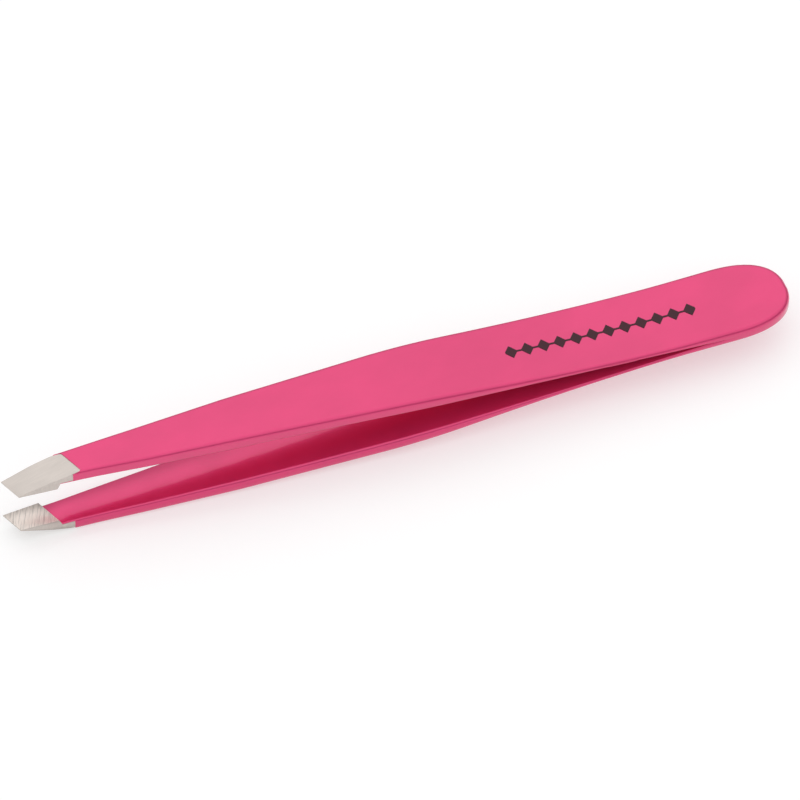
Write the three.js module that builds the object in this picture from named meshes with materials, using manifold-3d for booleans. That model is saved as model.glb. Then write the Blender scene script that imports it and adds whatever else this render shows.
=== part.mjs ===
// Slant-tip tweezers: two sprung steel arms, spot welded at the heel and coated with enamel.
// Millimetres. X runs from the tips (x = 0) to the heel, Y is across the arms, Z is up.
// The plane between the two arms is z = 0 while the part is built, then the group is lifted
// so that the lowest point of the lower arm is at z = 0.
import * as THREE from 'three';
import * as BufferGeometryUtils from 'three/addons/utils/BufferGeometryUtils.js';
import Module from 'manifold-3d';

// ---------- overall sizes ----------
const LENGTH = 95;
const COAT = 0.08;                 // enamel thickness
const INK = 0.03;                  // printed band thickness
const CENTRE_X = LENGTH / 2;

// ---------- plan outline (half widths) ----------
const TIP_HALF_WIDTH = 1.4;
const BLADE_LENGTH = 7.3;          // bare ground steel on the outer face of the tip
const BLADE_HALF_WIDTH = 1.84;     // where the enamel starts
const FLAT_START_X = 27;           // the flat outer face runs from here to the belly
const FLAT_HALF_WIDTH = 3.27;
const BELLY_X = 49;                // the bend of the bow
const BELLY_HALF_WIDTH = 4.58;
const SHOULDER_X = 81;
const SHOULDER_HALF_WIDTH = 4.99;
const HEEL_START_X = 87.3;         // the rounded end begins
const HEEL_POWER = 2.4;            // squareness of the rounded end
const SLANT = Math.tan(THREE.MathUtils.degToRad(23));
const SLANT_KEEP_X = 9;            // full slant up to here
const SLANT_FADE_X = 16;           // square sections from here on

// ---------- side profile (heights above the middle plane) ----------
const FRONT_TOP = 4.9;             // outer face where the enamel starts
const FLAT_START_TOP = 4.58;
const BELLY_TOP = 3.7;
const HEEL_TOP = 0.93;
const HEEL_FLAT_X = 81;
const TIP_TOP = 3.02;              // outer face at the very edge
const BREAK_X = 3.5;               // the steep ground bevel ends here
const BREAK_TOP = 4.08;
const FRONT_GAP = 3.4;             // inner face behind the pad
const GAP_START_X = 6;
const GAP_BELLY = 2.05;
const CROTCH_X = 84;               // the inner faces meet here
const WELD_X = 85.3;               // bare steel on bare steel from here back
const GAP_SLOPE_FRONT = -0.025;
const GAP_SLOPE_BELLY = -0.052;
const GAP_SLOPE_CROTCH = -0.066;
const TOP_SLOPE_BELLY = -0.118;
const TOP_SLOPE_HEEL = -0.012;

// ---------- edges ----------
const OUTER_EDGE = 0.55;
const INNER_EDGE = 0.2;
const GROUND_EDGE = 0.07;
const OUTER_STEPS = 5;
const INNER_STEPS = 2;

// ---------- spring hinge and jaws ----------
const HINGE_X = 72;
const HINGE_Z = 1.04;
const CLOSING = THREE.MathUtils.degToRad(2.25);
const CLOSED_CLEARANCE = 0.012;    // from the tip's edge to the middle plane once closed
const PAD_RELIEF = 0.021;          // the closed pads open this much per mm behind the edge
const PAD_END_X = 4.4;
const PAD_RAMP = 0.8;
const SIDE_COAT_X = 6.2;           // the enamel on the side faces starts here
const LIP_TUCK = 0.03;             // small step between one stretch of enamel and the next
const PAD_STEP = 0.05;             // the enamel stands this proud of the pad
const STEEL_SPLIT = 0.04;          // half of the clearance in the steel at the hinge
const COAT_SPLIT = 0.06;           // half of the clearance in the enamel at the hinge

// ---------- weld nuggets and printed band ----------
const NUGGET_RADIUS = 1.6;
const NUGGET_HEIGHT = 0.7;
const NUGGET_X = [87.2, 91];
const MARK_START_X = 60;
const MARK_PITCH = 2;
const MARK_COUNT = 12;
const MARK_HALF_LENGTH = 0.8;
const MARK_HALF_HEIGHT = 0.95;
const MARK_LINK = 0.12;

const COLOURS = { steel: 0xcfc9c1, coat: 0xd94f80, ink: 0x5f3e48, weld: 0x9a948d };

const wasm = await Module();
wasm.setup();

// Straight line through (x0, a) and (x1, b).
function line(x, x0, a, x1, b) {
  return a + ((b - a) * (x - x0)) / (x1 - x0);
}

// Smooth curve from (x0, a) with slope p to (x1, b) with slope q.
function ease(x, x0, a, p, x1, b, q) {
  const span = x1 - x0;
  const t = (x - x0) / span;
  const t2 = t * t;
  const t3 = t2 * t;
  const start = (2 * t3 - 3 * t2 + 1) * a + (t3 - 2 * t2 + t) * span * p;
  return start + (3 * t2 - 2 * t3) * b + (t3 - t2) * span * q;
}

// Half width of the strip with its sides moved in by inset.
function halfWidth(x, inset) {
  if (x < BLADE_LENGTH) {
    return line(x, 0, TIP_HALF_WIDTH, BLADE_LENGTH, BLADE_HALF_WIDTH) - inset;
  }
  if (x < FLAT_START_X) {
    return line(x, BLADE_LENGTH, BLADE_HALF_WIDTH, FLAT_START_X, FLAT_HALF_WIDTH) - inset;
  }
  if (x < BELLY_X) {
    return line(x, FLAT_START_X, FLAT_HALF_WIDTH, BELLY_X, BELLY_HALF_WIDTH) - inset;
  }
  const side = line(Math.min(x, HEEL_START_X), BELLY_X, BELLY_HALF_WIDTH, SHOULDER_X, SHOULDER_HALF_WIDTH);
  if (x < HEEL_START_X) {
    return side - inset;
  }
  const along = (x - HEEL_START_X) / (LENGTH - inset - HEEL_START_X);
  return (side - inset) * Math.pow(Math.max(0, 1 - Math.pow(along, HEEL_POWER)), 1 / HEEL_POWER);
}

// Height of the outer face of the enamelled strip.
function outerFace(x) {
  if (x < FLAT_START_X) {
    return line(x, BLADE_LENGTH, FRONT_TOP, FLAT_START_X, FLAT_START_TOP);
  }
  if (x < BELLY_X) {
    return line(x, FLAT_START_X, FLAT_START_TOP, BELLY_X, BELLY_TOP);
  }
  if (x < HEEL_FLAT_X) {
    return ease(x, BELLY_X, BELLY_TOP, TOP_SLOPE_BELLY, HEEL_FLAT_X, HEEL_TOP, TOP_SLOPE_HEEL);
  }
  return HEEL_TOP;
}

// Height of the inner face of the enamelled strip.
function innerFace(x) {
  if (x < BELLY_X) {
    return ease(x, GAP_START_X, FRONT_GAP, GAP_SLOPE_FRONT, BELLY_X, GAP_BELLY, GAP_SLOPE_BELLY);
  }
  return ease(x, BELLY_X, GAP_BELLY, GAP_SLOPE_BELLY, CROTCH_X, 0, GAP_SLOPE_CROTCH);
}

// The gripping face: flat, and nearly level with the middle plane once the arm has closed.
function padFace(x) {
  const closed = CLOSED_CLEARANCE + PAD_RELIEF * x;
  const drop = (HINGE_X - x) * Math.sin(CLOSING) + closed - HINGE_Z;
  return HINGE_Z + drop / Math.cos(CLOSING);
}

// 0 on the pad, 1 behind the ramp that ends it.
function behindPad(x) {
  return THREE.MathUtils.clamp((x - PAD_END_X) / PAD_RAMP, 0, 1);
}

// Section of the bare steel strip at x.
function steelSection(x) {
  const half = halfWidth(x, COAT);
  if (x <= BLADE_LENGTH) {
    const ground = x < BREAK_X
      ? line(x, 0, TIP_TOP, BREAK_X, BREAK_TOP)
      : line(x, BREAK_X, BREAK_TOP, BLADE_LENGTH, FRONT_TOP - COAT);
    const bottom = THREE.MathUtils.lerp(padFace(x), innerFace(x) + COAT, behindPad(x));
    const grown = THREE.MathUtils.clamp((x - BREAK_X) / (BLADE_LENGTH - BREAK_X), 0, 1);
    const edge = THREE.MathUtils.lerp(GROUND_EDGE, OUTER_EDGE - COAT, grown * grown);
    return { half: half + COAT * (1 - grown), top: ground, bottom, outer: edge, inner: GROUND_EDGE };
  }
  const open = innerFace(Math.min(x, CROTCH_X)) + COAT;
  const bottom = x < CROTCH_X ? open : line(Math.min(x, WELD_X), CROTCH_X, COAT, WELD_X, 0);
  return endRounded(x, LENGTH - COAT, {
    half, top: outerFace(x) - COAT, bottom, outer: OUTER_EDGE - COAT, inner: INNER_EDGE - COAT,
  });
}

// Section of the enamelled strip at x; past the crotch the two halves run into each other.
function coatSection(x) {
  if (x < BLADE_LENGTH) {
    return lipSection(x);
  }
  const bottom = x < CROTCH_X + 0.4 ? innerFace(x) : innerFace(CROTCH_X + 0.4);
  return endRounded(x, LENGTH, {
    half: halfWidth(x, 0), top: outerFace(x), bottom, outer: OUTER_EDGE, inner: INNER_EDGE,
  });
}

// Enamel in front of the ground outer face: first a film behind the pad, then the side faces too.
function lipSection(x) {
  const steel = steelSection(x);
  if (x < SIDE_COAT_X) {
    const bottom = THREE.MathUtils.lerp(padFace(x) - PAD_STEP, innerFace(x), behindPad(x));
    return { half: steel.half - LIP_TUCK, top: bottom + 0.3, bottom, outer: GROUND_EDGE, inner: LIP_TUCK };
  }
  const top = steel.top - steel.outer;
  return { half: halfWidth(x, 0), top, bottom: innerFace(x), outer: LIP_TUCK, inner: GROUND_EDGE };
}

// The enamelled strip made thicker on its outer face by the ink.
function inkSection(x) {
  const section = coatSection(x);
  section.top += INK;
  return section;
}

// Lowers the outer face over the last stretch, so the end of the heel is round in side view too.
function endRounded(x, end, section) {
  const past = Math.max(0, x - (end - section.outer)) / section.outer;
  section.top -= section.outer * (1 - Math.sqrt(Math.max(0, 1 - past * past)));
  return section;
}

// Ring of points around one section, starting at the near side and going over the outer face.
function ringOf(section) {
  const depth = section.top - section.bottom;
  const outer = Math.min(section.outer, depth * 0.55, section.half * 0.8);
  const inner = Math.min(section.inner, depth * 0.3, section.half * 0.4);
  const ring = [];
  const corner = (cy, cz, radius, from, steps) => {
    for (let i = 0; i <= steps; i += 1) {
      const angle = from - (i / steps) * (Math.PI / 2);
      ring.push([cy + radius * Math.cos(angle), cz + radius * Math.sin(angle)]);
    }
  };
  corner(-section.half + outer, section.top - outer, outer, Math.PI, OUTER_STEPS);
  corner(section.half - outer, section.top - outer, outer, Math.PI / 2, OUTER_STEPS);
  corner(section.half - inner, section.bottom + inner, inner, 0, INNER_STEPS);
  corner(-section.half + inner, section.bottom + inner, inner, -Math.PI / 2, INNER_STEPS);
  return ring;
}

// A plain cylinder whose rings are moved onto the sections of a strip.
// side is 1 for the upper strip and -1 for its mirror image below the middle plane.
function strip(stations, sectionAt, side) {
  const rings = stations.map((x) => ringOf(sectionAt(x)));
  const around = rings[0].length;
  const along = stations.length - 1;
  const geometry = new THREE.CylinderGeometry(1, 1, 1, around, along);
  const position = geometry.attributes.position;
  const turn = 2 * Math.PI;
  for (let i = 0; i < position.count; i += 1) {
    const px = position.getX(i);
    const pz = position.getZ(i);
    const row = Math.round((0.5 - position.getY(i)) * along);
    const section = sectionAt(stations[row]);
    let point = [0, (section.top + section.bottom) / 2];
    if (Math.hypot(px, pz) > 0.5) {
      const step = Math.round((Math.atan2(px, pz) / turn) * around + around) % around;
      point = rings[row][side > 0 ? step : around - 1 - step];
    }
    const x = stations[row];
    const fade = THREE.MathUtils.clamp((SLANT_FADE_X - x) / (SLANT_FADE_X - SLANT_KEEP_X), 0, 1);
    const shift = SLANT * (TIP_HALF_WIDTH - point[0]) * fade;
    position.setXYZ(i, x + shift, point[0], side * point[1]);
  }
  return solidOf(geometry);
}

function solidOf(geometry) {
  const bare = geometry.clone();
  bare.deleteAttribute('normal');
  bare.deleteAttribute('uv');
  const merged = BufferGeometryUtils.mergeVertices(bare, 1e-4);
  const mesh = new wasm.Mesh({
    numProp: 3,
    vertProperties: new Float32Array(merged.attributes.position.array),
    triVerts: new Uint32Array(merged.index.array),
  });
  return new wasm.Manifold(mesh);
}

function geometryOf(solid) {
  const mesh = solid.getMesh();
  const geometry = new THREE.BufferGeometry();
  geometry.setAttribute('position', new THREE.BufferAttribute(new Float32Array(mesh.vertProperties), 3));
  geometry.setIndex(new THREE.BufferAttribute(new Uint32Array(mesh.triVerts), 1));
  geometry.computeVertexNormals();
  return geometry;
}

// Even steps from a to b, both included.
function steps(a, b, count) {
  return Array.from({ length: count + 1 }, (_, i) => line(i, 0, a, count, b));
}

// Steps that crowd together towards b, for the rounded heel.
function roundedSteps(a, b, count) {
  return Array.from({ length: count + 1 }, (_, i) => a + (b - a) * Math.sin((i / count) * (Math.PI / 2)));
}

const arm = [...steps(9, SLANT_FADE_X, 3), ...steps(20, FLAT_START_X, 2), 34, 42, BELLY_X];
const bow = [BELLY_X, ...steps(52.5, 69, 6)];
const heel = [76, 79, HEEL_FLAT_X, CROTCH_X, WELD_X];
const armStations = [...arm, ...bow.slice(1)];

function steelArm(side) {
  const blade = [0, 1.7, BREAK_X, PAD_END_X, PAD_END_X + PAD_RAMP, SIDE_COAT_X, BLADE_LENGTH];
  return strip([...blade, ...armStations, HINGE_X - STEEL_SPLIT], steelSection, side);
}

function coatedArm(side, sectionAt) {
  const film = [PAD_END_X, PAD_END_X + PAD_RAMP, SIDE_COAT_X - LIP_TUCK];
  const sides = [SIDE_COAT_X, BLADE_LENGTH - LIP_TUCK];
  return strip([...film, ...sides, BLADE_LENGTH, ...armStations, HINGE_X - COAT_SPLIT], sectionAt, side);
}

function steelHeel(side) {
  const end = LENGTH - COAT;
  const rounded = roundedSteps(HEEL_START_X, end - 0.02, 9);
  return strip([HINGE_X + STEEL_SPLIT, ...heel, ...rounded], steelSection, side);
}

function coatedHeel(side, sectionAt) {
  const past = [CROTCH_X + 0.4, WELD_X + 0.5];
  const rounded = roundedSteps(HEEL_START_X, LENGTH - 0.02, 9);
  return strip([HINGE_X + COAT_SPLIT, ...heel.slice(0, 4), ...past, ...rounded], sectionAt, side);
}

function nugget(x) {
  const geometry = new THREE.CylinderGeometry(NUGGET_RADIUS, NUGGET_RADIUS, NUGGET_HEIGHT, 24);
  geometry.rotateX(Math.PI / 2);
  geometry.translate(x, 0, 0);
  return solidOf(geometry);
}

// A row of linked lozenges standing on end, from lozenge first up to lozenge last.
function lozengeRow(first, last) {
  const centre = (i) => MARK_START_X + (i + 0.5) * MARK_PITCH;
  const outline = new THREE.Shape();
  const reach = MARK_HALF_LENGTH * (1 - MARK_LINK / MARK_HALF_HEIGHT);
  outline.moveTo(centre(first) - reach, MARK_LINK);
  for (let i = first; i <= last; i += 1) {
    outline.lineTo(centre(i) - reach, MARK_LINK);
    outline.lineTo(centre(i), MARK_HALF_HEIGHT);
    outline.lineTo(centre(i) + reach, MARK_LINK);
  }
  for (let i = last; i >= first; i -= 1) {
    outline.lineTo(centre(i) + reach, -MARK_LINK);
    outline.lineTo(centre(i), -MARK_HALF_HEIGHT);
    outline.lineTo(centre(i) - reach, -MARK_LINK);
  }
  const geometry = new THREE.ExtrudeGeometry(outline, { depth: 6, bevelEnabled: false });
  return solidOf(geometry);
}

const nuggets = NUGGET_X.map(nugget);
const upperSteel = steelArm(1);
const lowerSteel = steelArm(-1);
const upperCoatFull = coatedArm(1, coatSection);
const lowerCoatFull = coatedArm(-1, coatSection);
const heelUpperFull = steelHeel(1);
const heelLowerFull = steelHeel(-1);
const heelCoatFull = coatedHeel(1, coatSection).add(coatedHeel(-1, coatSection));
const drilled = (solid) => nuggets.reduce((rest, piece) => rest.subtract(piece), solid);
const half = MARK_COUNT / 2;
const armInk = coatedArm(1, inkSection).subtract(upperCoatFull);
const heelInk = coatedHeel(1, inkSection).subtract(heelCoatFull);

const group = new THREE.Group();
group.name = 'slant_tweezers';

function addPiece(name, solid, colour, roughness, metalness) {
  const material = new THREE.MeshStandardMaterial({ color: colour, roughness, metalness });
  const mesh = new THREE.Mesh(geometryOf(solid), material);
  mesh.name = name;
  group.add(mesh);
}

addPiece('upper_arm_steel', upperSteel, COLOURS.steel, 0.35, 1);
addPiece('upper_arm_enamel', upperCoatFull.subtract(upperSteel), COLOURS.coat, 0.25, 0);
addPiece('lower_arm_steel', lowerSteel, COLOURS.steel, 0.35, 1);
addPiece('lower_arm_enamel', lowerCoatFull.subtract(lowerSteel), COLOURS.coat, 0.25, 0);
addPiece('heel_steel_upper', drilled(heelUpperFull), COLOURS.steel, 0.35, 1);
addPiece('heel_steel_lower', drilled(heelLowerFull), COLOURS.steel, 0.35, 1);
addPiece('heel_enamel', heelCoatFull.subtract(heelUpperFull).subtract(heelLowerFull), COLOURS.coat, 0.25, 0);
addPiece('weld_nugget_front', nuggets[0], COLOURS.weld, 0.6, 1);
addPiece('weld_nugget_rear', nuggets[1], COLOURS.weld, 0.6, 1);
addPiece('printed_band_front', armInk.intersect(lozengeRow(0, half - 1)), COLOURS.ink, 0.6, 0);
addPiece('printed_band_rear', heelInk.intersect(lozengeRow(half, MARK_COUNT - 1)), COLOURS.ink, 0.6, 0);

group.position.set(-CENTRE_X, 0, FRONT_TOP);
group.updateMatrixWorld(true);

export default group;
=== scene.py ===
"""Slant tweezers: two sprung steel strips joined at a rounded heel, enamelled behind ground tips.

X runs from the tips to the heel, Y across the arms and Z up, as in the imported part. Meshes are
shaped in millimetres, with x = 0 at the tips and z = 0 on the middle plane between the arms,
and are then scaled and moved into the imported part's place.
"""

import math
from collections import namedtuple

import bmesh
import bpy
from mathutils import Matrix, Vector


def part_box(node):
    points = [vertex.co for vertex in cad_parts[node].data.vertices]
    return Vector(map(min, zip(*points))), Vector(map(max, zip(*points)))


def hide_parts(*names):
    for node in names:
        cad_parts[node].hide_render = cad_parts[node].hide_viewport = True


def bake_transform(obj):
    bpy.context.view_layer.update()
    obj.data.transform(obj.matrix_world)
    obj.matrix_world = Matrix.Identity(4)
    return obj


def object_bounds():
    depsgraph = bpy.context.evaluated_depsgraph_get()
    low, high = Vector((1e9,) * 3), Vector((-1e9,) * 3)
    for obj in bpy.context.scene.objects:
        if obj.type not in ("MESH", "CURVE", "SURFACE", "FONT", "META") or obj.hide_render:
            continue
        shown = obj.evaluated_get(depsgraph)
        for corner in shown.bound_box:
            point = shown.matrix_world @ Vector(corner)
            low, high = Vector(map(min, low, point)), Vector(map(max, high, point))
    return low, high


bl_info = {
    "name": "Slant tweezers",
    "version": (1, 0, 0),
    "blender": (4, 5, 0),
    "location": "3D View > Sidebar > Tweezers",
    "description": "Models enamelled slant tweezers round their packed CAD part",
    "category": "Object",
}

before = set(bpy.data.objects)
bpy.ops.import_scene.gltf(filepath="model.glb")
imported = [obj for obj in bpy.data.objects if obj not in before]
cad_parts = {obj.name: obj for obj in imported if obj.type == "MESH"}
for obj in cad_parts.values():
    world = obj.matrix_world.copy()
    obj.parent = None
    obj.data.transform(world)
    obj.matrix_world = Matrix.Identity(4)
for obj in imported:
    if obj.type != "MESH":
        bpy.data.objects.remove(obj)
CAD_LOW, CAD_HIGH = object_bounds()
MM = 0.001

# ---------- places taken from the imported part, in millimetres ----------
TIP_PLACE = CAD_LOW.x / MM
LENGTH = (CAD_HIGH.x - CAD_LOW.x) / MM
MIDDLE = (CAD_LOW.z + CAD_HIGH.z) / 2 / MM
HINGE_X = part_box("upper_arm_steel")[1].x / MM - TIP_PLACE

# ---------- plan outline: half widths, x from the tips ----------
TIP_HALF_WIDTH = 1.4
BLADE_X = 7.3
BLADE_HALF_WIDTH = 1.84
FLAT_X = 27
FLAT_HALF_WIDTH = 3.27
BELLY_X = 49
BELLY_HALF_WIDTH = 4.58
SHOULDER_X = 81
SHOULDER_HALF_WIDTH = 4.99
ROUND_X = 87.3
ROUND_POWER = 2.4
SLANT = math.tan(math.radians(23))
SLANT_KEEP_X = 9
SLANT_FADE_X = 16

# ---------- side profile: heights above the middle plane ----------
BLADE_TOP = 4.9
FLAT_TOP = 4.58
BELLY_TOP = 3.7
BELLY_SLOPE = -0.118
HEEL_TOP = 0.93
HEEL_SLOPE = -0.012
BREAK_X = 3.5
BREAK_TOP = 4.08
TIP_TOP = 3.02
GAP_X = 6
GAP_FRONT = 3.4
GAP_FRONT_SLOPE = -0.025
GAP_BELLY = 2.05
GAP_BELLY_SLOPE = -0.052
CROTCH_X = 84
GAP_HEEL_SLOPE = -0.066
WELD_X = 85.3
PAD_TIP = 2.84
PAD_SLOPE = -0.0183
PAD_END_X = 4.4
PAD_RAMP = 0.35
SIDE_COAT_X = 6.2

# ---------- the soft bend at the belly ----------
BEND_REACH = 5
WIDTH_SLOPE_CHANGE = -0.047
TOP_SLOPE_CHANGE = -0.078

# ---------- places of the sections ----------
START_X = -2
SLANT_STEPS = 5
STRAIGHT_STATIONS = (20, 23.5, FLAT_X, 31.5, 36, 40.5, 44, 45.5, 47, BELLY_X, 50.5)
BOW_X = 52
BOW_STEPS = 20
ROUND_STEPS = 16
HEEL_FLAT = 0.02

# ---------- rounded edges: shares of the radius and the depth, places and tilts of normals ----------
FRONT_ROUNDING = 0.62
OUTER_SHARE = 0.6
INNER_SHARE = 0.25
STEEL_SEGMENTS = 5
ENAMEL_SEGMENTS = 6
INNER_SEGMENTS = 3
SMOOTH_HEEL_X = ROUND_X + 3.2
TIP_MARGIN = 1.3
MIDDLE_BAND = 0.05
SIDE_BAND = 0.9
LYING_NORMAL = 0.7
STANDING_NORMAL = 0.5
PAD_NORMAL = 0.9
FRONT_NORMAL = 0.7
SIDE_NORMAL = 0.8
CUT_MERGE = 0.0001
BEVEL_ANGLE = 40
SMOOTH_ANGLE = 35

# ---------- printed row: shares of the pitch and of the lozenge's height ----------
LOZENGE_SHARE = 0.7
LINK_SHARE = 0.126
NEAR = 0.1 * MM
MERGE = 0.01 * MM

# ---------- sizes of the specks in the finishes, in millimetres ----------
ENAMEL_CLOUDS = (7, 5, 5)
ENAMEL_MARKS = (5, 1.3, 3)
ENAMEL_PEEL = (0.55, 0.55, 0.55)
STEEL_LINES = (2.2, 0.045, 0.5)
STEEL_CLOUDS = (2.4, 1.1, 2)
FILE_STROKES = (0.05, 3, 3)
FILE_SCRATCHES = (0.04, 1.4, 3)
INK_PATCHES = (0.25, 0.25, 0.25)
WELD_GRAIN = (0.3, 0.3, 0.3)
SHEET_FIBRES = (4, 4, 4)

# ---------- stage: aim in millimetres, the rest in metres; the sky's band as heights of 0 to 1 ----------
AIM_RIGHT = -0.055
AIM_UP = -0.4
CLIP_START = 0.01
FLOOR_SIZE = 6
FLOOR_DROP = 0.02 * MM
DIM_BELOW = 0.1
BRIGHT_ABOVE = 0.72
SOFTBOXES = (
    ("softbox_overhead", (0.1, 0.45, 0.8), 0.9, 1),
    ("softbox_front", (-0.35, -0.6, 0.75), 0.6, 0.25),
)

Ring = namedtuple("Ring", "x half low high")


# ---------- the strip's outline ----------
def line(x, x0, a, x1, b):
    """Height or width at x on the straight line through (x0, a) and (x1, b)."""
    return a + (b - a) * (x - x0) / (x1 - x0)


def ease(x, start, slope0, end, slope1):
    """Smooth curve between two (x, value) points that leaves and arrives with the given slopes."""
    span = end[0] - start[0]
    t = (x - start[0]) / span
    t2 = t * t
    t3 = t * t * t
    first = (2 * t3 - 3 * t2 + 1) * start[1] + (t3 - 2 * t2 + t) * span * slope0
    return first + (3 * t2 - 2 * t3) * end[1] + (t3 - t2) * span * slope1


def clamp(value):
    """The value held between 0 and 1."""
    return max(0.0, min(1.0, value))


def soften(x, bend, change):
    """What a bend's curve adds to the two straight lines that meet there with this change of slope."""
    inside = max(0, BEND_REACH - abs(x - bend))
    return change * inside**2 / (4 * BEND_REACH)


def half_width(x, inset):
    """Half width of the strip at x, with its sides moved in by inset."""
    if x < BLADE_X:
        return line(x, 0, TIP_HALF_WIDTH, BLADE_X, BLADE_HALF_WIDTH) - inset
    if x < FLAT_X:
        return line(x, BLADE_X, BLADE_HALF_WIDTH, FLAT_X, FLAT_HALF_WIDTH) - inset
    bend = soften(x, BELLY_X, WIDTH_SLOPE_CHANGE) - inset
    if x < BELLY_X:
        return line(x, FLAT_X, FLAT_HALF_WIDTH, BELLY_X, BELLY_HALF_WIDTH) + bend
    side = line(min(x, ROUND_X), BELLY_X, BELLY_HALF_WIDTH, SHOULDER_X, SHOULDER_HALF_WIDTH) + bend
    along = clamp((x - ROUND_X) / (LENGTH - inset - ROUND_X))
    return side * (1 - along**ROUND_POWER) ** (1 / ROUND_POWER)


def outer_face(x):
    """Height of the enamelled strip's outer face, as it was before the tip was ground."""
    if x < FLAT_X:
        return line(x, BLADE_X, BLADE_TOP, FLAT_X, FLAT_TOP)
    bend = soften(x, BELLY_X, TOP_SLOPE_CHANGE)
    if x < BELLY_X:
        return line(x, FLAT_X, FLAT_TOP, BELLY_X, BELLY_TOP) + bend
    if x < SHOULDER_X:
        bow = ease(x, (BELLY_X, BELLY_TOP), BELLY_SLOPE, (SHOULDER_X, HEEL_TOP), HEEL_SLOPE)
        return bow + bend
    return HEEL_TOP


def inner_face(x):
    """Height of the enamelled strip's inner face."""
    if x < BELLY_X:
        return ease(x, (GAP_X, GAP_FRONT), GAP_FRONT_SLOPE, (BELLY_X, GAP_BELLY), GAP_BELLY_SLOPE)
    if x < CROTCH_X:
        return ease(x, (BELLY_X, GAP_BELLY), GAP_BELLY_SLOPE, (CROTCH_X, 0), GAP_HEEL_SLOPE)
    return GAP_HEEL_SLOPE * (x - CROTCH_X)


def lean_at(x):
    """How far a section leans along x for each millimetre across the strip."""
    return SLANT * clamp((SLANT_FADE_X - x) / (SLANT_FADE_X - SLANT_KEEP_X))


def steel_ring(x, coat):
    """Section of the steel strip at x, under a coat of that thickness."""
    grown = clamp((x - BREAK_X) / (BLADE_X - BREAK_X))
    behind_pad = clamp((x - PAD_END_X) / PAD_RAMP)
    pad = PAD_TIP + PAD_SLOPE * x
    low = pad + (inner_face(x) + coat - pad) * behind_pad
    if x > CROTCH_X:
        low = line(min(x, WELD_X), CROTCH_X, coat, WELD_X, 0)
    return Ring(x, half_width(x, coat * grown), low, outer_face(x) - coat)


def enamel_ring(x):
    """Section of the enamelled strip at x."""
    return Ring(x, half_width(x, 0), inner_face(x), outer_face(x))


def spread(start, end, count):
    """Even steps from start to end, both included."""
    return [start + (end - start) * i / count for i in range(count + 1)]


def body_stations(end):
    """Places of the sections from the front of the coat back to the end of the heel."""
    slanted = spread(SLANT_KEEP_X, SLANT_FADE_X, SLANT_STEPS)
    bow = spread(BOW_X, CROTCH_X, BOW_STEPS)
    turn = math.pi / 2 / ROUND_STEPS
    rounded = [ROUND_X + (end - ROUND_X) * math.sin(i * turn) for i in range(ROUND_STEPS)]
    return [*slanted, *STRAIGHT_STATIONS, *bow, WELD_X, *rounded, end - HEEL_FLAT]


# ---------- modelling by hand ----------
def centre_of(ring):
    """Middle of a section."""
    return Vector((ring.x + lean_at(ring.x) * TIP_HALF_WIDTH, 0, (ring.low + ring.high) / 2))


def add_section(name, ring):
    """Stands a plane across the strip at its first section and enters edit mode."""
    bpy.ops.object.select_all(action="DESELECT")
    lean = lean_at(ring.x)
    turn = (0, math.pi / 2, math.atan(lean))
    bpy.ops.mesh.primitive_plane_add(size=1, location=centre_of(ring), rotation=turn)
    piece = bpy.context.object
    piece.name = piece.data.name = name
    piece.scale = (ring.high - ring.low, 2 * ring.half * math.hypot(1, lean), 1)
    bpy.ops.object.transform_apply()
    bpy.ops.object.mode_set(mode="EDIT")
    bpy.ops.mesh.select_all(action="SELECT")
    return piece


def extrude_to(last, ring):
    """Extrudes the selected end face from one section to the next."""
    step = centre_of(ring) - centre_of(last)
    bpy.ops.mesh.extrude_region_move(TRANSFORM_OT_translate={"value": step})
    wider = ring.half / last.half
    longer = wider * lean_at(ring.x) / lean_at(last.x) if lean_at(last.x) else 1
    deeper = (ring.high - ring.low) / (last.high - last.low)
    bpy.ops.transform.resize(value=(longer, wider, deeper), center_override=centre_of(ring))


def extrude_strip(name, rings):
    """A closed strip through all the rings, left in edit mode with its faces pointing outwards."""
    piece = add_section(name, rings[0])
    for last, ring in zip(rings, rings[1:]):
        extrude_to(last, ring)
    bpy.ops.mesh.select_all(action="SELECT")
    bpy.ops.mesh.normals_make_consistent(inside=False)
    return piece


def select_faces(piece, test):
    """Selects the faces whose middle and normal pass the test."""
    mesh = bmesh.from_edit_mesh(piece.data)
    for face in mesh.faces:
        face.select_set(False)
    mesh.select_flush(False)
    for face in mesh.faces:
        if test(face.calc_center_median(), face.normal):
            face.select_set(True)
    bmesh.update_edit_mesh(piece.data)


def select_edges(piece, test):
    """Selects the edges whose middle and two face normals, the higher one first, pass the test."""
    bpy.ops.mesh.select_mode(type="EDGE")
    bpy.ops.mesh.select_all(action="DESELECT")
    mesh = bmesh.from_edit_mesh(piece.data)
    for edge in mesh.edges:
        sides = sorted((face.normal for face in edge.link_faces), key=lambda n: -n.z)
        middle = (edge.verts[0].co + edge.verts[1].co) / 2
        if len(sides) == 2 and test(middle, sides[0], sides[1]):
            edge.select_set(True)
    bmesh.update_edit_mesh(piece.data)


def delete_faces(piece, test):
    """Deletes the faces whose middle and normal pass the test."""
    bpy.ops.mesh.select_mode(type="FACE")
    select_faces(piece, test)
    bpy.ops.mesh.delete(type="FACE")


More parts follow.
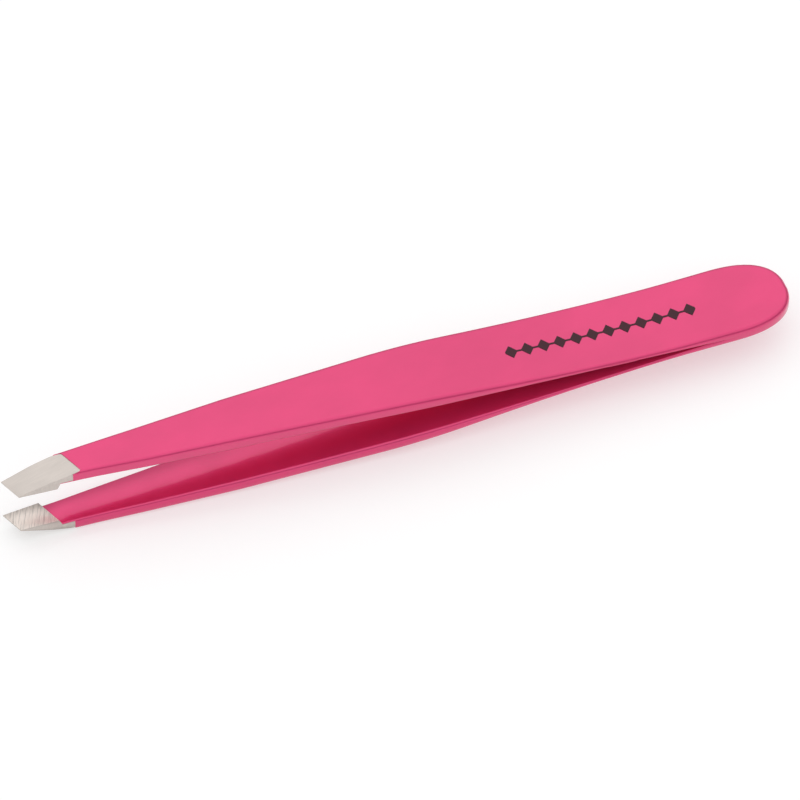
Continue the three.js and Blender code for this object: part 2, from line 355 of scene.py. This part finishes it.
def round_edges(piece, rails, radius, share, segments):
    """Rounds the chosen long edges: less in front, and at most a share of the strip's depth."""
    select_edges(piece, rails)
    mesh = bmesh.from_edit_mesh(piece.data)
    weights = mesh.edges.layers.float.get("bevel_weight_edge")
    if weights is None:
        weights = mesh.edges.layers.float.new("bevel_weight_edge")
    for edge in mesh.edges:
        x = (edge.verts[0].co.x + edge.verts[1].co.x) / 2
        depth = outer_face(x) - max(0, inner_face(x))
        front = FRONT_ROUNDING + (1 - FRONT_ROUNDING) * clamp((x - BLADE_X) / (FLAT_X - BLADE_X))
        edge[weights] = min(front, depth * share / radius) if edge.select else 0
    bmesh.update_edit_mesh(piece.data)
    limits = {"limit_method": "WEIGHT", "use_clamp_overlap": False}
    add_modifier(piece, "BEVEL", width=radius, segments=segments, **limits)
    bpy.ops.object.mode_set(mode="EDIT")


def round_outer_edges(piece, radius, segments):
    """Rounds the long edges of the outer face and carries the rounding on round the heel."""

    def heel_cross_edge(at, up, down):
        return down.z > LYING_NORMAL and at.x > SMOOTH_HEEL_X and abs(at.y) < MIDDLE_BAND

    select_edges(piece, heel_cross_edge)
    bpy.ops.mesh.dissolve_edges(use_verts=False)
    front = min(vertex.co.x for vertex in bmesh.from_edit_mesh(piece.data).verts) + TIP_MARGIN

    def outer_rail(at, up, down):
        return up.z > LYING_NORMAL and abs(down.z) < STANDING_NORMAL and at.x > front

    round_edges(piece, outer_rail, radius, OUTER_SHARE, segments)


def round_inner_edges(piece, radius, start):
    """Rounds the long edges of the inner face from start back to the heel."""

    def inner_rail(at, up, down):
        lies = down.z < -LYING_NORMAL and abs(up.z) < STANDING_NORMAL
        return lies and start < at.x < ROUND_X and abs(at.y) > SIDE_BAND

    round_edges(piece, inner_rail, radius, INNER_SHARE, INNER_SEGMENTS)


def section_plane(x, height, slope):
    """Point on and normal of the plane that crosses the slanted strip at x and climbs by slope."""
    across = Vector((-SLANT, 1, 0))
    along = Vector((1, 0, slope))
    return Vector((x + SLANT * TIP_HALF_WIDTH, 0, height)), along.cross(across).normalized()


def grind(point, normal, fill):
    """Cuts the whole piece along a plane and takes off what lies on the normal's side."""
    bpy.ops.mesh.select_all(action="SELECT")
    bpy.ops.mesh.bisect(
        plane_co=point, plane_no=normal, use_fill=fill, clear_outer=True, threshold=CUT_MERGE
    )


def grind_outer_face(fill):
    """Grinds the tip's outer face: a long flat from the coat's edge, then a steeper one to the tip."""
    coat_edge = (BLADE_TOP - BREAK_TOP) / (BLADE_X - BREAK_X)
    grind(*section_plane(BREAK_X, BREAK_TOP, coat_edge), fill)
    grind(*section_plane(0, TIP_TOP, (BREAK_TOP - TIP_TOP) / BREAK_X), fill)


def add_modifier(piece, kind, **settings):
    """Adds a modifier with these settings and applies it."""
    bpy.ops.object.mode_set(mode="OBJECT")
    bpy.ops.object.modifier_add(type=kind)
    modifier = piece.modifiers[-1]
    for key, value in settings.items():
        setattr(modifier, key, value)
    bpy.ops.object.modifier_apply(modifier=modifier.name)


def put_in_place(piece):
    """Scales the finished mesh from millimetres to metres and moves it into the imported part."""
    bpy.ops.object.mode_set(mode="EDIT")
    bpy.ops.mesh.select_all(action="SELECT")
    bpy.ops.transform.resize(value=(MM, MM, MM), center_override=(0, 0, 0))
    bpy.ops.transform.translate(value=(TIP_PLACE * MM, 0, MIDDLE * MM))
    bpy.ops.object.mode_set(mode="OBJECT")


def shade(piece):
    """Smooth shading that keeps the large faces flat and the sharp edges crisp."""
    bpy.ops.object.shade_smooth_by_angle(angle=math.radians(SMOOTH_ANGLE))
    add_modifier(piece, "WEIGHTED_NORMAL", keep_sharp=True, weight=100)


def mirrored(piece, name):
    """A copy of a finished piece on the other side of the middle plane, with its own mesh."""
    bpy.ops.object.select_all(action="DESELECT")
    piece.select_set(True)
    bpy.context.view_layer.objects.active = piece
    bpy.ops.object.duplicate(linked=False)
    copy = bpy.context.object
    copy.name = copy.data.name = name
    bpy.ops.object.mode_set(mode="EDIT")
    bpy.ops.mesh.select_all(action="SELECT")
    bpy.ops.transform.resize(value=(1, 1, -1), center_override=(0, 0, MIDDLE * MM))
    bpy.ops.mesh.flip_normals()
    bpy.ops.object.mode_set(mode="OBJECT")
    return copy


def bend_between(piece, reach):
    """Bakes a piece's place into its mesh. It works out where the hinge's thin stretch ends on the heel
    side and on the arm side, but nothing uses these places.
    """
    heel_side = (TIP_PLACE + HINGE_X + reach) * MM
    arm_side = (TIP_PLACE + HINGE_X - reach) * MM
    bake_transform(piece)


# ---------- shader maths ----------
class Value:
    """A node's output; adding and multiplying it adds Math nodes."""

    def __init__(self, graph, socket):
        self.graph = graph
        self.socket = socket

    def math(self, operation, first, second):
        """Adds one Math node."""
        return self.graph.node("ShaderNodeMath", {"operation": operation}, {0: first, 1: second})

    def __add__(self, other):
        return self.math("ADD", self, other)

    def __mul__(self, other):
        return self.math("MULTIPLY", self, other)

    __radd__ = __add__
    __rmul__ = __mul__


class Graph:
    """One material's or the world's node tree, built by hand."""

    def __init__(self, tree):
        self.tree = tree
        tree.nodes.clear()

    def node(self, kind, settings=None, inputs=None, output=0):
        """Adds a node, sets it up, feeds its sockets and returns one of its outputs."""
        made = self.tree.nodes.new(kind)
        for key, value in (settings or {}).items():
            if key == "stops":
                self.set_stops(made.color_ramp.elements, value)
            else:
                setattr(made, key, value)
        for key, value in (inputs or {}).items():
            if isinstance(value, Value):
                self.tree.links.new(value.socket, made.inputs[key])
            else:
                made.inputs[key].default_value = value
        return Value(self, made.outputs[output]) if made.outputs else None

    def set_stops(self, elements, stops):
        """Sets a two-stop ramp from (position, grey) pairs."""
        for element, (position, grey) in zip(elements, stops):
            element.position = position
            element.color = (grey, grey, grey, 1)

    def noise(self, size, turn=0.0, detail=2.0):
        """Noise whose specks have these sizes in millimetres, turned about Z."""
        place = self.node("ShaderNodeTexCoord", output="Object")
        mapped = self.node(
            "ShaderNodeMapping",
            {"vector_type": "TEXTURE"},
            {"Vector": place, "Rotation": (0, 0, turn), "Scale": [side * MM for side in size]},
        )
        return self.node("ShaderNodeTexNoise", None, {"Vector": mapped, "Scale": 1, "Detail": detail})

    def ramp(self, value, low, high):
        """Stretches the part of a value between low and high to 0 to 1."""
        return self.node("ShaderNodeValToRGB", {"stops": [(low, 0), (high, 1)]}, {"Fac": value})

    def mix(self, factor, first, second):
        """Mixes two colours."""
        inputs = {0: factor, 6: first, 7: second}
        return self.node("ShaderNodeMix", {"data_type": "RGBA"}, inputs, output=2)

    def bump(self, height, depth, strength):
        """Bumps of that depth in metres."""
        inputs = {"Height": height, "Distance": depth, "Strength": strength}
        return self.node("ShaderNodeBump", None, inputs)

    def surface(self, inputs):
        """Ends the material in a Principled shader."""
        shader = self.node("ShaderNodeBsdfPrincipled", None, inputs)
        self.node("ShaderNodeOutputMaterial", None, {"Surface": shader})


def new_material(name):
    """An empty material and its graph."""
    material = bpy.data.materials.new(name)
    material.use_nodes = True
    return material, Graph(material.node_tree)


def tint(colour, factor):
    """A colour made darker or lighter."""
    return tuple(min(1.0, channel * factor) for channel in colour[:3]) + (1.0,)


def enamel_finish(looks):
    """Glossy baked enamel with metal flake: faint clouds, orange peel and soft handling marks."""
    material, graph = new_material("glossy_enamel")
    clouds = graph.ramp(graph.noise(ENAMEL_CLOUDS, detail=3), low=0.35, high=0.65)
    marks = graph.ramp(graph.noise(ENAMEL_MARKS, turn=0.5, detail=5), low=0.45, high=0.75)
    peel = graph.noise(ENAMEL_PEEL, detail=1.5)
    graph.surface(
        {
            "Base Color": graph.mix(clouds, tint(looks.enamel, 0.97), tint(looks.enamel, 1.03)),
            "Roughness": looks.enamel_roughness + marks * 0.07,
            "Metallic": looks.enamel_metal,
            "Coat Weight": 0.6,
            "Coat Roughness": 0.08,
            "Normal": graph.bump(peel, depth=0.004 * MM, strength=0.35),
        }
    )
    return material


def ground_finish(looks):
    """Satin ground steel: short fine lines along the strip and cloudy brightness."""
    material, graph = new_material("satin_steel")
    lines = graph.noise(STEEL_LINES, turn=0.12, detail=3)
    clouds = graph.noise(STEEL_CLOUDS, detail=3)
    shade_of = graph.ramp(lines * 0.6 + clouds * 0.4, low=0.3, high=0.7)
    graph.surface(
        {
            "Base Color": graph.mix(shade_of, tint(looks.steel, 0.9), tint(looks.steel, 1.06)),
            "Metallic": 1.0,
            "Roughness": looks.steel_roughness + lines * 0.12,
            "Normal": graph.bump(lines, depth=0.003 * MM, strength=0.5),
        }
    )
    return material


def filed_pad_painted_lighter(looks):
    """Hand-filed gripping face: straight strokes across the pad, a little askew, on steel painted lighter
    than the bare steel as painted light on the pad.
    """
    material, graph = new_material("filed_steel_painted_lighter")
    strokes = graph.noise(FILE_STROKES, turn=-0.42, detail=1)
    scratches = graph.noise(FILE_SCRATCHES, turn=-0.34, detail=2)
    relief = strokes * 0.7 + scratches * 0.3
    shade_of = graph.ramp(relief, low=0.34, high=0.5)
    graph.surface(
        {
            # Painted light: the pad's colour runs from 0.62 to 1.38 times the bare steel and sits mostly
            # at the light end, lighter than the bare steel to stand in for light on the pad.
            "Base Color": graph.mix(shade_of, tint(looks.steel, 0.62), tint(looks.steel, 1.38)),
            "Metallic": 1.0,
            "Roughness": 0.42 + strokes * 0.2,
            "Normal": graph.bump(relief, depth=0.02 * MM, strength=0.6),
        }
    )
    return material


def ink_finish(looks):
    """Pad-printed ink: matt, with thin patches where the enamel almost shows."""
    material, graph = new_material("matt_ink")
    thin = graph.ramp(graph.noise(INK_PATCHES, detail=4), low=0.35, high=0.75)
    graph.surface(
        {
            "Base Color": graph.mix(thin, tint(looks.ink, 0.9), tint(looks.ink, 1.25)),
            "Roughness": 0.42 + thin * 0.16,
            "Specular IOR Level": 0.3,
            "Normal": graph.bump(thin, depth=0.004 * MM, strength=0.4),
        }
    )
    return material


def weld_finish(looks):
    """Fused weld metal: dull and grainy."""
    material, graph = new_material("dull_weld")
    grain = graph.noise(WELD_GRAIN, detail=5)
    graph.surface(
        {
            "Base Color": graph.mix(grain, tint(looks.steel, 0.45), tint(looks.steel, 0.8)),
            "Metallic": 1.0,
            "Roughness": 0.5 + grain * 0.25,
            "Normal": graph.bump(grain, depth=0.02 * MM, strength=0.7),
        }
    )
    return material


def floor_finish(looks):
    """Pale matt sheet, lit a little from below."""
    material, graph = new_material("studio_paper")
    fibres = graph.noise(SHEET_FIBRES, detail=4)
    graph.surface(
        {
            "Base Color": graph.mix(fibres, tint(looks.floor, 0.985), tint(looks.floor, 1.0)),
            "Roughness": 0.85 + fibres * 0.1,
            "Specular IOR Level": 0.1,
            "Emission Color": (1, 1, 1, 1),
            "Emission Strength": looks.floor_glow,
        }
    )
    return material


def finish_of(maker, looks, name):
    """The material of that name, made the first time it is asked for."""
    return bpy.data.materials.get(name) or maker(looks)


# ---------- settings ----------
class TweezerSizes(bpy.types.PropertyGroup):
    """Sizes of the visible pieces."""

    enamel_thickness: bpy.props.FloatProperty(
        name="Enamel thickness",
        description="Thickness of the enamel coat",
        default=0.08 * MM,
        unit="LENGTH",
    )
    ink_thickness: bpy.props.FloatProperty(
        name="Ink thickness", description="Height of the printed row", default=0.03 * MM, unit="LENGTH"
    )
    outer_edge: bpy.props.FloatProperty(
        name="Outer edge",
        description="Rounding of the outer face's edges",
        default=0.55 * MM,
        unit="LENGTH",
    )
    inner_edge: bpy.props.FloatProperty(
        name="Inner edge",
        description="Rounding of the inner face's edges",
        default=0.35 * MM,
        unit="LENGTH",
    )
    ground_edge: bpy.props.FloatProperty(
        name="Ground edge",
        description="Width of the dulled edges on the tip",
        default=0.04 * MM,
        unit="LENGTH",
    )
    bend_reach: bpy.props.FloatProperty(
        name="Bend reach",
        description="How far the bend spreads each way",
        default=8 * MM,
        unit="LENGTH",
    )
    lozenge_count: bpy.props.IntProperty(
        name="Lozenges", description="Number of lozenges in the printed row", default=12, min=1
    )


class TweezerLooks(bpy.types.PropertyGroup):
    """Colours and gloss."""

    enamel: bpy.props.FloatVectorProperty(
        name="Enamel", description="Enamel colour", subtype="COLOR", default=(0.72, 0.039, 0.17)
    )
    enamel_metal: bpy.props.FloatProperty(
        name="Enamel metal",
        description="Share of metal flake in the enamel",
        default=0.6,
        subtype="FACTOR",
    )
    enamel_roughness: bpy.props.FloatProperty(
        name="Enamel roughness",
        description="Lowest roughness of the enamel",
        default=0.28,
        subtype="FACTOR",
    )
    steel: bpy.props.FloatVectorProperty(
        name="Steel", description="Bare steel colour", subtype="COLOR", default=(0.61, 0.555, 0.515)
    )
    steel_roughness: bpy.props.FloatProperty(
        name="Steel roughness",
        description="Lowest roughness of the ground faces",
        default=0.36,
        subtype="FACTOR",
    )
    ink: bpy.props.FloatVectorProperty(
        name="Ink", description="Colour of the print", subtype="COLOR", default=(0.05, 0.009, 0.018)
    )
    floor: bpy.props.FloatVectorProperty(
        name="Floor", description="Colour of the studio floor", subtype="COLOR", default=(0.6, 0.6, 0.6)
    )
    floor_glow: bpy.props.FloatProperty(
        name="Floor glow",
        description="Light from the translucent sheet under the tweezers",
        default=0.45,
        min=0,
    )


class TweezerStage(bpy.types.PropertyGroup):
    """Camera and light."""

    distance: bpy.props.FloatProperty(
        name="Camera distance",
        description="From the camera to the tweezers",
        default=0.9,
        unit="LENGTH",
    )
    elevation: bpy.props.FloatProperty(
        name="Elevation",
        description="Camera height above the horizon",
        default=math.radians(49.5),
        subtype="ANGLE",
    )
    azimuth: bpy.props.FloatProperty(
        name="Azimuth",
        description="Camera turn towards the tips, from square on",
        default=math.radians(20.4),
        subtype="ANGLE",
    )
    lens: bpy.props.FloatProperty(
        name="Lens", description="Focal length of the camera in millimetres", default=354.6, min=1
    )
    softbox_power: bpy.props.FloatProperty(
        name="Softbox power", description="Power of the large light overhead", default=0.4, unit="POWER"
    )
    sky: bpy.props.FloatProperty(
        name="Room light", description="Strength of the room's light from above", default=1.12, min=0
    )
    horizon: bpy.props.FloatProperty(
        name="Horizon light",
        description="Share of the room's light left at the horizon",
        default=0.12,
        min=0,
    )


# ---------- operators ----------
class BuildStage(bpy.types.Operator):
    """Adds the camera, the pale floor and the soft lights"""

    bl_idname = "tweezers.build_stage"
    bl_label = "Build stage"

    def execute(self, context):
        stage = context.scene.tweezer_stage
        add_camera(context.scene, stage)
        add_floor(context.scene.tweezer_looks)
        add_lights(stage)
        light_room(context.scene, stage)
        context.scene.view_settings.view_transform = "Standard"
        return {"FINISHED"}


def add_camera(scene, stage):
    """Stands the camera over the near side, turned towards the tips."""
    flat = Vector((-math.sin(stage.azimuth), -math.cos(stage.azimuth), 0))
    back = flat * math.cos(stage.elevation) + Vector((0, 0, math.sin(stage.elevation)))
    right = Vector((-flat.y, flat.x, 0))
    up = back.cross(right)
    aim = Vector((0, 0, MIDDLE * MM)) + (AIM_RIGHT * right + AIM_UP * up) * MM
    turn = back.to_track_quat("Z", "Y").to_euler()
    bpy.ops.object.camera_add(location=aim + back * stage.distance, rotation=turn)
    camera = bpy.context.object
    camera.name = "camera"
    camera.data.lens = stage.lens
    camera.data.clip_start = CLIP_START
    scene.camera = camera


def add_floor(looks):
    """A wide pale sheet under the tweezers."""
    bpy.ops.object.select_all(action="DESELECT")
    bpy.ops.mesh.primitive_plane_add(size=FLOOR_SIZE, location=(0, 0, -FLOOR_DROP))
    floor = bpy.context.object
    floor.name = "floor"
    floor.data.materials.append(finish_of(floor_finish, looks, "studio_paper"))


def add_softbox(name, place, size, power):
    """A square soft light that faces the tweezers."""
    turn = Vector(place).to_track_quat("Z", "Y").to_euler()
    bpy.ops.object.light_add(type="AREA", location=place, rotation=turn)
    light = bpy.context.object
    light.name = name
    light.data.size = size
    light.data.energy = power
    light.visible_camera = False


def add_lights(stage):
    """A large softbox overhead and behind, and a weaker one in front."""
    for name, place, size, share in SOFTBOXES:
        add_softbox(name, place, size, stage.softbox_power * share)


def light_room(scene, stage):
    """Even light from the room, dimmer towards the horizon."""
    world = bpy.data.worlds.new("studio")
    world.use_nodes = True
    scene.world = world
    graph = Graph(world.node_tree)
    direction = graph.node("ShaderNodeTexCoord", output="Generated")
    split = graph.node("ShaderNodeSeparateXYZ", None, {"Vector": direction}, output="Z")
    band = {"Value": split, "From Min": DIM_BELOW, "From Max": BRIGHT_ABOVE}
    height = graph.node("ShaderNodeMapRange", None, band)
    strength = (height * (1 - stage.horizon) + stage.horizon) * stage.sky
    light = graph.node("ShaderNodeBackground", None, {"Color": (1, 1, 1, 1), "Strength": strength})
    graph.node("ShaderNodeOutputWorld", None, {"Surface": light})


class BuildStrips(bpy.types.Operator):
    """Models the two steel strips, with ground tips and filed gripping faces"""

    bl_idname = "tweezers.build_strips"
    bl_label = "Build steel strips"

    def execute(self, context):
        sizes = context.scene.tweezer_sizes
        upper = self.model(sizes)
        self.paint(upper, context.scene.tweezer_looks)
        lower = mirrored(upper, "lower_strip")
        for piece, arm, heel in ((upper, "upper_arm", "upper"), (lower, "lower_arm", "lower")):
            bend_between(piece, sizes.bend_reach / MM)
            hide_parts(f"{arm}_steel", f"heel_steel_{heel}")
        return {"FINISHED"}

    def model(self, sizes):
        """The upper strip: extruded, rounded, then ground along three planes."""
        coat = sizes.enamel_thickness / MM
        front = [START_X, PAD_END_X, PAD_END_X + PAD_RAMP, SIDE_COAT_X, BLADE_X]
        stations = [*front, *body_stations(LENGTH - coat)]
        piece = extrude_strip("upper_strip", [steel_ring(x, coat) for x in stations])
        round_outer_edges(piece, sizes.outer_edge / MM - coat, STEEL_SEGMENTS)
        round_inner_edges(piece, sizes.inner_edge / MM - coat, SIDE_COAT_X)
        grind_outer_face(fill=True)
        grind(Vector((SLANT * TIP_HALF_WIDTH, 0, 0)), Vector((-1, -SLANT, 0)), True)
        bevel = {"limit_method": "ANGLE", "angle_limit": math.radians(BEVEL_ANGLE), "segments": 2}
        add_modifier(piece, "BEVEL", width=sizes.ground_edge / MM, **bevel)
        put_in_place(piece)
        shade(piece)
        return piece

    def paint(self, piece, looks):
        """Ground steel all over, and on the gripping face filed steel that is painted lighter as painted
        light.
        """
        piece.data.materials.append(finish_of(ground_finish, looks, "satin_steel"))
        piece.data.materials.append(finish_of(filed_pad_painted_lighter, looks, "filed_steel_painted_lighter"))
        bpy.ops.object.mode_set(mode="EDIT")
        bpy.ops.mesh.select_mode(type="FACE")
        pad_end = (TIP_PLACE + PAD_END_X + SLANT * TIP_HALF_WIDTH) * MM
        select_faces(piece, lambda at, normal: normal.z < -PAD_NORMAL and at.x < pad_end)
        piece.active_material_index = 1
        bpy.ops.object.material_slot_assign()
        bpy.ops.object.mode_set(mode="OBJECT")


class BuildEnamel(bpy.types.Operator):
    """Models the enamel on both arms and the heel"""

    bl_idname = "tweezers.build_enamel"
    bl_label = "Build enamel"

    def execute(self, context):
        sizes = context.scene.tweezer_sizes
        upper = self.model(sizes)
        upper.data.materials.append(
            finish_of(enamel_finish, context.scene.tweezer_looks, "glossy_enamel")
        )
        lower = mirrored(upper, "lower_enamel")
        for piece, arm in ((upper, "upper_arm"), (lower, "lower_arm")):
            bend_between(piece, sizes.bend_reach / MM)
            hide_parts(f"{arm}_enamel", "heel_enamel")
        return {"FINISHED"}

    def model(self, sizes):
        """The upper half of the coat: an open skin over the strip, then given its thickness."""
        coat = sizes.enamel_thickness / MM
        stations = [PAD_END_X + PAD_RAMP, SIDE_COAT_X, BLADE_X, *body_stations(LENGTH)]
        piece = extrude_strip("upper_enamel", [enamel_ring(x) for x in stations])
        round_outer_edges(piece, sizes.outer_edge / MM, ENAMEL_SEGMENTS)
        round_inner_edges(piece, sizes.inner_edge / MM, 0)
        delete_faces(piece, lambda at, normal: normal.x < -FRONT_NORMAL)
        grind_outer_face(fill=False)
        grind(Vector((0, 0, 0)), Vector((0, 0, -1)), False)
        delete_faces(piece, self.is_bare_side)
        solid = {"offset": -1, "use_even_offset": False, "use_rim": True}
        add_modifier(piece, "SOLIDIFY", thickness=coat, **solid)
        put_in_place(piece)
        shade(piece)
        return piece

    def is_bare_side(self, at, normal):
        """Whether a side face lies in front of the place where that side's coat starts."""
        start = BLADE_X if at.y > 0 else SIDE_COAT_X
        along = at.x + SLANT * (at.y - TIP_HALF_WIDTH)
        return abs(normal.y) > SIDE_NORMAL and along < start


class BuildPrint(bpy.types.Operator):
    """Models the printed row of linked lozenges on the upper arm"""

    bl_idname = "tweezers.build_print"
    bl_label = "Build printed row"

    def execute(self, context):
        sizes = context.scene.tweezer_sizes
        piece = self.model(sizes)
        ink = finish_of(ink_finish, context.scene.tweezer_looks, "matt_ink")
        piece.data.materials.append(ink)
        bend_between(piece, sizes.bend_reach / MM)
        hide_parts("printed_band_front", "printed_band_rear")
        return {"FINISHED"}

    def model(self, sizes):
        """One lozenge with its links, repeated along the row and laid on the enamel."""
        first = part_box("printed_band_front")[0]
        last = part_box("printed_band_rear")[1]
        pitch = (last.x - first.x) / (sizes.lozenge_count - 1 + LOZENGE_SHARE)
        reach = pitch * LOZENGE_SHARE / 2
        centre = Vector((first.x + reach, 0, CAD_HIGH.z + MM))
        bpy.ops.object.select_all(action="DESELECT")
        bpy.ops.mesh.primitive_circle_add(vertices=4, radius=1, fill_type="NGON", location=centre)
        piece = bpy.context.object
        piece.name = piece.data.name = "printed_row"
        corner = reach / (1 - LINK_SHARE)
        piece.scale = (corner, last.y, 1)
        bpy.ops.object.transform_apply()
        bpy.ops.object.mode_set(mode="EDIT")
        self.draw_links(piece, math.hypot(corner, last.y) * LINK_SHARE, centre, pitch / 2 / reach)
        bpy.ops.mesh.select_all(action="SELECT")
        for _ in range(sizes.lozenge_count - 1):
            bpy.ops.mesh.duplicate_move(TRANSFORM_OT_translate={"value": (pitch, 0, 0)})
        bpy.ops.mesh.select_all(action="SELECT")
        bpy.ops.mesh.remove_doubles(threshold=MERGE)
        self.select_points(piece, lambda at: not first.x - NEAR < at.x < last.x + NEAR)
        bpy.ops.mesh.delete(type="VERT")
        down = {"wrap_method": "PROJECT", "use_project_z": True, "use_negative_direction": True}
        target = {"target": bpy.data.objects["upper_enamel"], "offset": sizes.ink_thickness}
        add_modifier(piece, "SHRINKWRAP", use_positive_direction=False, **down, **target)
        add_modifier(piece, "SOLIDIFY", thickness=sizes.ink_thickness, offset=-1)
        return piece

    def select_points(self, piece, test):
        """Selects the corner points whose place passes the test."""
        bpy.ops.mesh.select_mode(type="VERT")
        bpy.ops.mesh.select_all(action="DESELECT")
        mesh = bmesh.from_edit_mesh(piece.data)
        for vertex in mesh.verts:
            vertex.select_set(test(vertex.co))
        mesh.select_flush_mode()
        bmesh.update_edit_mesh(piece.data)

    def draw_links(self, piece, cut, centre, longer):
        """Cuts a lozenge's two side corners off and draws the cuts out into half a link each."""
        self.select_points(piece, lambda at: abs(at.y) < NEAR)
        bpy.ops.mesh.bevel(offset=cut, affect="VERTICES")
        bpy.ops.mesh.extrude_edges_move()
        bpy.ops.transform.resize(value=(longer, 1, 1), center_override=centre)


class BuildWelds(bpy.types.Operator):
    """Gives the weld nuggets inside the heel their finish"""

    bl_idname = "tweezers.build_welds"
    bl_label = "Finish weld nuggets"

    def execute(self, context):
        finish = finish_of(weld_finish, context.scene.tweezer_looks, "dull_weld")
        for name in ("weld_nugget_front", "weld_nugget_rear"):
            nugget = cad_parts[name]
            nugget.data.materials.clear()
            nugget.data.materials.append(finish)
        return {"FINISHED"}


OPERATORS = (BuildStage, BuildStrips, BuildEnamel, BuildPrint, BuildWelds)


class TweezerPanel(bpy.types.Panel):
    """Lists the settings and the building steps"""

    bl_idname = "VIEW3D_PT_tweezers"
    bl_label = "Slant tweezers"
    bl_space_type = "VIEW_3D"
    bl_region_type = "UI"
    bl_category = "Tweezers"

    def draw(self, context):
        scene = context.scene
        for group in (scene.tweezer_sizes, scene.tweezer_looks, scene.tweezer_stage):
            box = self.layout.box()
            for key in group.__annotations__:
                box.prop(group, key)
        for operator in OPERATORS:
            self.layout.operator(operator.bl_idname)


GROUPS = {
    "tweezer_sizes": TweezerSizes,
    "tweezer_looks": TweezerLooks,
    "tweezer_stage": TweezerStage,
}
CLASSES = (*GROUPS.values(), *OPERATORS, TweezerPanel)


def register():
    """Registers the classes and the scene's settings."""
    for cls in CLASSES:
        bpy.utils.register_class(cls)
    for name, group in GROUPS.items():
        setattr(bpy.types.Scene, name, bpy.props.PointerProperty(type=group))


def unregister():
    """Removes what register added."""
    for name in GROUPS:
        delattr(bpy.types.Scene, name)
    for cls in reversed(CLASSES):
        bpy.utils.unregister_class(cls)


def main():
    """Builds everything in order."""
    register()
    bpy.ops.tweezers.build_stage()
    bpy.ops.tweezers.build_strips()
    bpy.ops.tweezers.build_enamel()
    bpy.ops.tweezers.build_print()
    bpy.ops.tweezers.build_welds()


if __name__ == "__main__":
    main()
